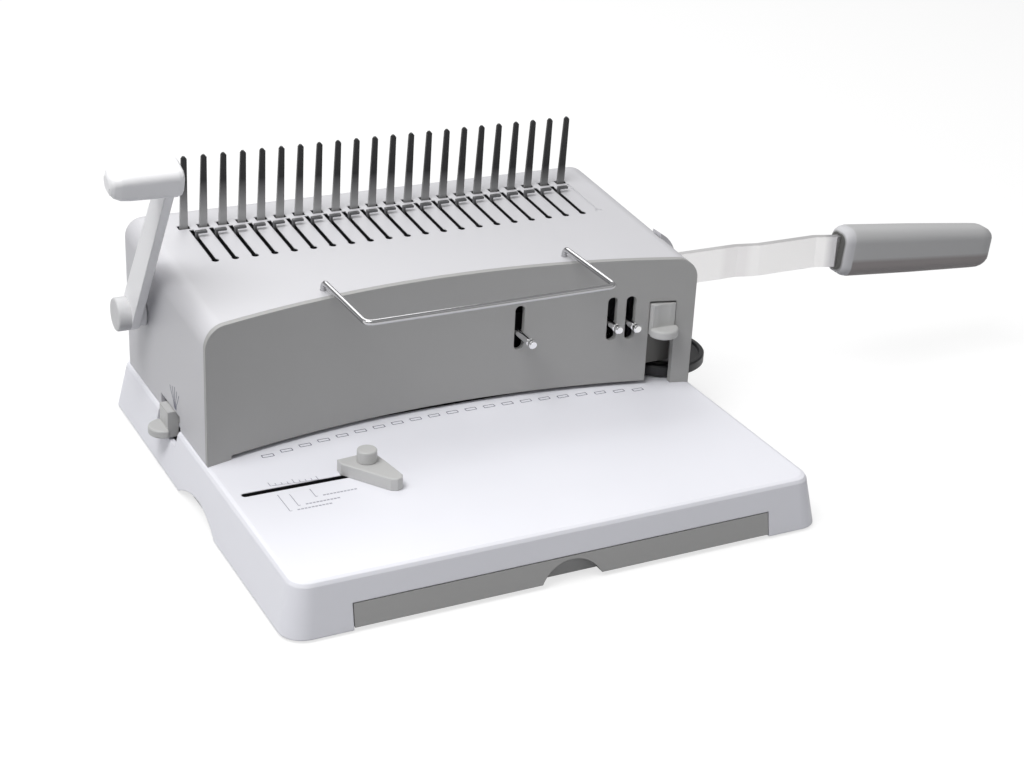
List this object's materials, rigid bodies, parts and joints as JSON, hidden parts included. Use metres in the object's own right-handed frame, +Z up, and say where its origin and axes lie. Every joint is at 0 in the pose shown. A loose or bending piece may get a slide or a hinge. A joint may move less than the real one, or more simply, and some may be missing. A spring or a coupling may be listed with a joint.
{
  "type": "comb binding machine",
  "caption": "desktop plastic comb binding machine with side punch handle, curved punch panel, sloping top with comb tines and hooks, waste drawer and adjusters",
  "frame": {"origin": "on the desk under the middle of the base", "axes": "X to the right along the hole row, Y to the back, Z up"},
  "size_m": [0.7216, 0.364, 0.2388],
  "materials": {
    "white_plastic": "fine matt moulding, off-white",
    "grey_plastic": "fine matt moulding, mid grey",
    "drawer_plastic": "matt moulding, blue grey",
    "dark_plastic": "dark grey, near black at the tips",
    "lever_plastic": "dark grey moulding",
    "grip_plastic": "soft grey grip",
    "dial_plastic": "black moulding",
    "bright_steel": "bright rolled steel",
    "plated_steel": "bright plating",
    "tool_steel": "ground steel, light oil",
    "sheet_steel": "zinc plated sheet",
    "screw_steel": "plated screws",
    "foot_rubber": "black rubber"
  },
  "bodies": {
    "machine": {"base_tray": "white_plastic", "base_bottom_plate": "sheet_steel", "rubber_feet": "foot_rubber", "base_screws": "screw_steel", "cover_screws": "screw_steel", "housing_cover": "white_plastic", "front_panel": "grey_plastic", "slider_keeper": "sheet_steel", "tine_bar": "bright_steel", "comb_tines": "dark_plastic", "carriage_rails": "bright_steel", "lever_bracket": "sheet_steel", "wire_support": "plated_steel", "lower_die": "tool_steel", "punch_guide_plate": "tool_steel", "paper_stop": "tool_steel", "die_screws": "screw_steel", "guide_posts": "tool_steel", "punch_frame": "sheet_steel", "handle_bracket": "sheet_steel", "handle_pivot": "tool_steel", "dial_spindle": "tool_steel"},
    "drawer": {"waste_drawer": "drawer_plastic"},
    "handle": {"handle_bar": "bright_steel", "handle_grip": "grip_plastic", "handle_hub": "tool_steel"},
    "cam": {"cam_bar": "tool_steel"},
    "beam": {"punch_beam": "tool_steel", "punches": "tool_steel", "beam_rollers": "tool_steel"},
    "pin_1": {"release_pin_1": "plated_steel"},
    "pin_2": {"release_pin_2": "plated_steel"},
    "pin_3": {"release_pin_3": "plated_steel"},
    "lever": {"comb_lever": "lever_plastic", "lever_cap": "lever_plastic", "lever_shaft": "tool_steel", "lever_crank": "tool_steel"},
    "carriage": {"hook_carriage": "bright_steel", "comb_hooks": "bright_steel"},
    "guide": {"paper_guide": "grey_plastic", "guide_clamp": "tool_steel"},
    "knob": {"guide_knob": "grey_plastic"},
    "margin": {"margin_slider": "grey_plastic"},
    "size": {"size_slider": "grey_plastic"},
    "dial": {"depth_dial": "dial_plastic"}
  },
  "joints": [
    {"name": "punch_handle", "type": "hinge", "parent": "machine", "child": "handle", "pos_m": [0.1695, 0.036, 0.112], "axis": [0, -1, 0], "range_deg": [0, 45]},
    {"name": "cam_slide", "type": "slide", "parent": "machine", "child": "cam", "axis": [1, 0, 0], "range_m": [0, 0.0108]},
    {"name": "beam_lift", "type": "slide", "parent": "machine", "child": "beam", "axis": [0, 0, 1], "range_m": [0, 0.0101]},
    {"name": "release_pin_1_slide", "type": "slide", "parent": "beam", "child": "pin_1", "axis": [0, -1, 0], "range_m": [-0.01, 0]},
    {"name": "release_pin_2_slide", "type": "slide", "parent": "beam", "child": "pin_2", "axis": [0, -1, 0], "range_m": [0, 0.01]},
    {"name": "release_pin_3_slide", "type": "slide", "parent": "beam", "child": "pin_3", "axis": [0, -1, 0], "range_m": [0, 0.01]},
    {"name": "comb_lever_hinge", "type": "hinge", "parent": "machine", "child": "lever", "pos_m": [-0.194, 0.122, 0.095], "axis": [1, 0, 0], "range_deg": [-8, 52]},
    {"name": "carriage_slide", "type": "slide", "parent": "machine", "child": "carriage", "axis": [0, -0.9968, -0.0797], "range_m": [-0.00455, 0.0295]},
    {"name": "paper_guide_slide", "type": "slide", "parent": "machine", "child": "guide", "axis": [1, 0, 0], "range_m": [-0.075, 0]},
    {"name": "guide_knob_turn", "type": "hinge", "parent": "guide", "child": "knob", "pos_m": [-0.091, -0.0575, 0.05], "axis": [0, 0, 1], "range_deg": [-90, 90]},
    {"name": "margin_slide", "type": "slide", "parent": "machine", "child": "margin", "axis": [0, 1, 0], "range_m": [-0.01, 0.01]},
    {"name": "size_slide", "type": "slide", "parent": "machine", "child": "size", "axis": [0, 0, 1], "range_m": [-0.027, 0]},
    {"name": "drawer_slide", "type": "slide", "parent": "machine", "child": "drawer", "axis": [0, -1, 0], "range_m": [0, 0.12]},
    {"name": "dial_turn", "type": "hinge", "parent": "machine", "child": "dial", "pos_m": [0.184, 0.0305, 0.042], "axis": [0, 0, 1], "range_deg": [-90, 90]}
  ],
  "couplings": [
    {"joint": "cam_slide", "follows": "punch_handle", "m_per_rad": 0.013643},
    {"joint": "beam_lift", "follows": "punch_handle", "m_per_rad": 0.012732},
    {"joint": "carriage_slide", "follows": "comb_lever_hinge", "m_per_rad": 0.032479}
  ]
}
